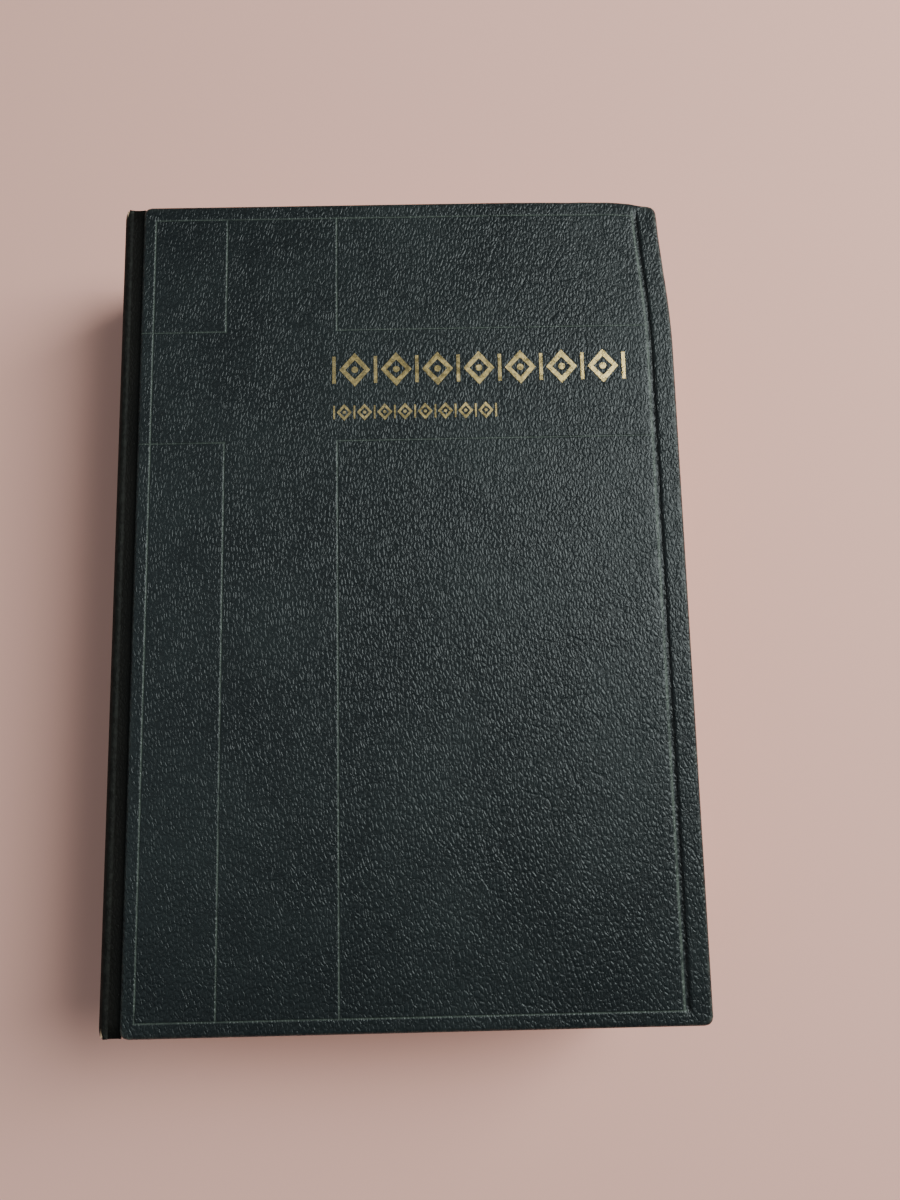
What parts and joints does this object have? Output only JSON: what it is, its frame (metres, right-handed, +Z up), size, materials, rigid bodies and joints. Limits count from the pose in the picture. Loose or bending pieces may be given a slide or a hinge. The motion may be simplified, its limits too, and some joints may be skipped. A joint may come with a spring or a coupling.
{
  "type": "bible",
  "caption": "Closed case-bound book of scripture with grained green-black covers, blind-tooled cross and gold ornament; both covers and the outer leaves open.",
  "frame": {"origin": "under the middle of the closed book, on the surface that it lies on", "axes": "+X towards the fore-edge, +Y towards the head, +Z up out of the front cover"},
  "size_m": [0.1516, 0.216, 0.045],
  "materials": {
    "page_paper": "thin uncoated Bible paper, cream, in folded gatherings",
    "endpaper": "heavier uncoated endpaper, cream",
    "leatherette": "green-black pebble-grained leatherette, semi-gloss, blind tooled",
    "grey_board": "grey binder's board, matte",
    "spine_card": "brown kraft card, matte",
    "linen_thread": "unbleached linen thread",
    "mull_cloth": "open starched mull",
    "headband_cloth": "rolled cream headband",
    "gold_foil": "hot-pressed gold foil, satin, slightly rubbed"
  },
  "bodies": {
    "text_block": {"gathering_01": "page_paper", "gathering_02": "page_paper", "gathering_03": "page_paper", "gathering_04": "page_paper", "gathering_05": "page_paper", "gathering_06": "page_paper", "gathering_07": "page_paper", "gathering_08": "page_paper", "gathering_09": "page_paper", "gathering_10": "page_paper", "gathering_11": "page_paper", "gathering_12": "page_paper", "gathering_13": "page_paper", "gathering_14": "page_paper", "gathering_15": "page_paper", "gathering_16": "page_paper", "gathering_17": "page_paper", "gathering_18": "page_paper", "gathering_19": "page_paper", "gathering_20": "page_paper", "gathering_21": "page_paper", "gathering_22": "page_paper", "gathering_23": "page_paper", "gathering_24": "page_paper", "sewing_thread": "linen_thread", "mull": "mull_cloth", "spine_lining": "spine_card", "head_band": "headband_cloth", "tail_band": "headband_cloth", "spine_inlay": "spine_card", "spine_covering": "leatherette", "front_joint_cloth": "leatherette", "back_joint_cloth": "leatherette", "front_gutter_guard": "page_paper", "back_gutter_guard": "page_paper"},
    "front_cover": {"front_board": "grey_board", "front_covering": "leatherette", "front_pastedown": "endpaper", "cover_foil": "gold_foil"},
    "back_cover": {"back_board": "grey_board", "back_covering": "leatherette", "back_pastedown": "endpaper"},
    "front_flyleaf": {"front_flyleaf": "endpaper"},
    "back_flyleaf": {"back_flyleaf": "endpaper"},
    "front_leaf_1": {"front_leaf_1": "page_paper"},
    "front_leaf_2": {"front_leaf_2": "page_paper"},
    "front_leaf_3": {"front_leaf_3": "page_paper"},
    "front_leaf_4": {"front_leaf_4": "page_paper"},
    "front_leaf_5": {"front_leaf_5": "page_paper"},
    "back_leaf_1": {"back_leaf_1": "page_paper"},
    "back_leaf_2": {"back_leaf_2": "page_paper"},
    "back_leaf_3": {"back_leaf_3": "page_paper"}
  },
  "joints": [
    {"name": "front_cover_hinge", "type": "hinge", "parent": "text_block", "child": "front_cover", "pos_m": [-0.07185, 0, 0.04328], "axis": [0, -1, 0], "range_deg": [0, 179]},
    {"name": "back_cover_hinge", "type": "hinge", "parent": "text_block", "child": "back_cover", "pos_m": [-0.07185, 0, 0.00172], "axis": [0, 1, 0], "range_deg": [0, 179]},
    {"name": "front_flyleaf_turn", "type": "hinge", "parent": "text_block", "child": "front_flyleaf", "pos_m": [-0.06628, 0, 0.0413], "axis": [0, -1, 0], "range_deg": [0, 119.93]},
    {"name": "front_leaf_5_turn", "type": "hinge", "parent": "text_block", "child": "front_leaf_5", "pos_m": [-0.06598, 0, 0.0411], "axis": [0, -1, 0], "range_deg": [0, 107.4]},
    {"name": "front_leaf_4_turn", "type": "hinge", "parent": "text_block", "child": "front_leaf_4", "pos_m": [-0.06568, 0, 0.0409], "axis": [0, -1, 0], "range_deg": [0, 89.5]},
    {"name": "front_leaf_3_turn", "type": "hinge", "parent": "text_block", "child": "front_leaf_3", "pos_m": [-0.06538, 0, 0.0407], "axis": [0, -1, 0], "range_deg": [0, 71.6]},
    {"name": "front_leaf_2_turn", "type": "hinge", "parent": "text_block", "child": "front_leaf_2", "pos_m": [-0.06508, 0, 0.0405], "axis": [0, -1, 0], "range_deg": [0, 53.7]},
    {"name": "front_leaf_1_turn", "type": "hinge", "parent": "text_block", "child": "front_leaf_1", "pos_m": [-0.06478, 0, 0.0403], "axis": [0, -1, 0], "range_deg": [0, 35.8]},
    {"name": "back_flyleaf_turn", "type": "hinge", "parent": "text_block", "child": "back_flyleaf", "pos_m": [-0.06568, 0, 0.0037], "axis": [0, 1, 0], "range_deg": [0, 119.93]},
    {"name": "back_leaf_3_turn", "type": "hinge", "parent": "text_block", "child": "back_leaf_3", "pos_m": [-0.06538, 0, 0.0039], "axis": [0, 1, 0], "range_deg": [0, 89.5]},
    {"name": "back_leaf_2_turn", "type": "hinge", "parent": "text_block", "child": "back_leaf_2", "pos_m": [-0.06508, 0, 0.0041], "axis": [0, 1, 0], "range_deg": [0, 71.6]},
    {"name": "back_leaf_1_turn", "type": "hinge", "parent": "text_block", "child": "back_leaf_1", "pos_m": [-0.06478, 0, 0.0043], "axis": [0, 1, 0], "range_deg": [0, 53.7]}
  ],
  "couplings": [
    {"joint": "front_flyleaf_turn", "follows": "front_cover_hinge", "ratio": 0.67},
    {"joint": "front_leaf_5_turn", "follows": "front_cover_hinge", "ratio": 0.6},
    {"joint": "front_leaf_4_turn", "follows": "front_cover_hinge", "ratio": 0.5},
    {"joint": "front_leaf_3_turn", "follows": "front_cover_hinge", "ratio": 0.4},
    {"joint": "front_leaf_2_turn", "follows": "front_cover_hinge", "ratio": 0.3},
    {"joint": "front_leaf_1_turn", "follows": "front_cover_hinge", "ratio": 0.2},
    {"joint": "back_flyleaf_turn", "follows": "back_cover_hinge", "ratio": 0.67},
    {"joint": "back_leaf_3_turn", "follows": "back_cover_hinge", "ratio": 0.5},
    {"joint": "back_leaf_2_turn", "follows": "back_cover_hinge", "ratio": 0.4},
    {"joint": "back_leaf_1_turn", "follows": "back_cover_hinge", "ratio": 0.3}
  ]
}
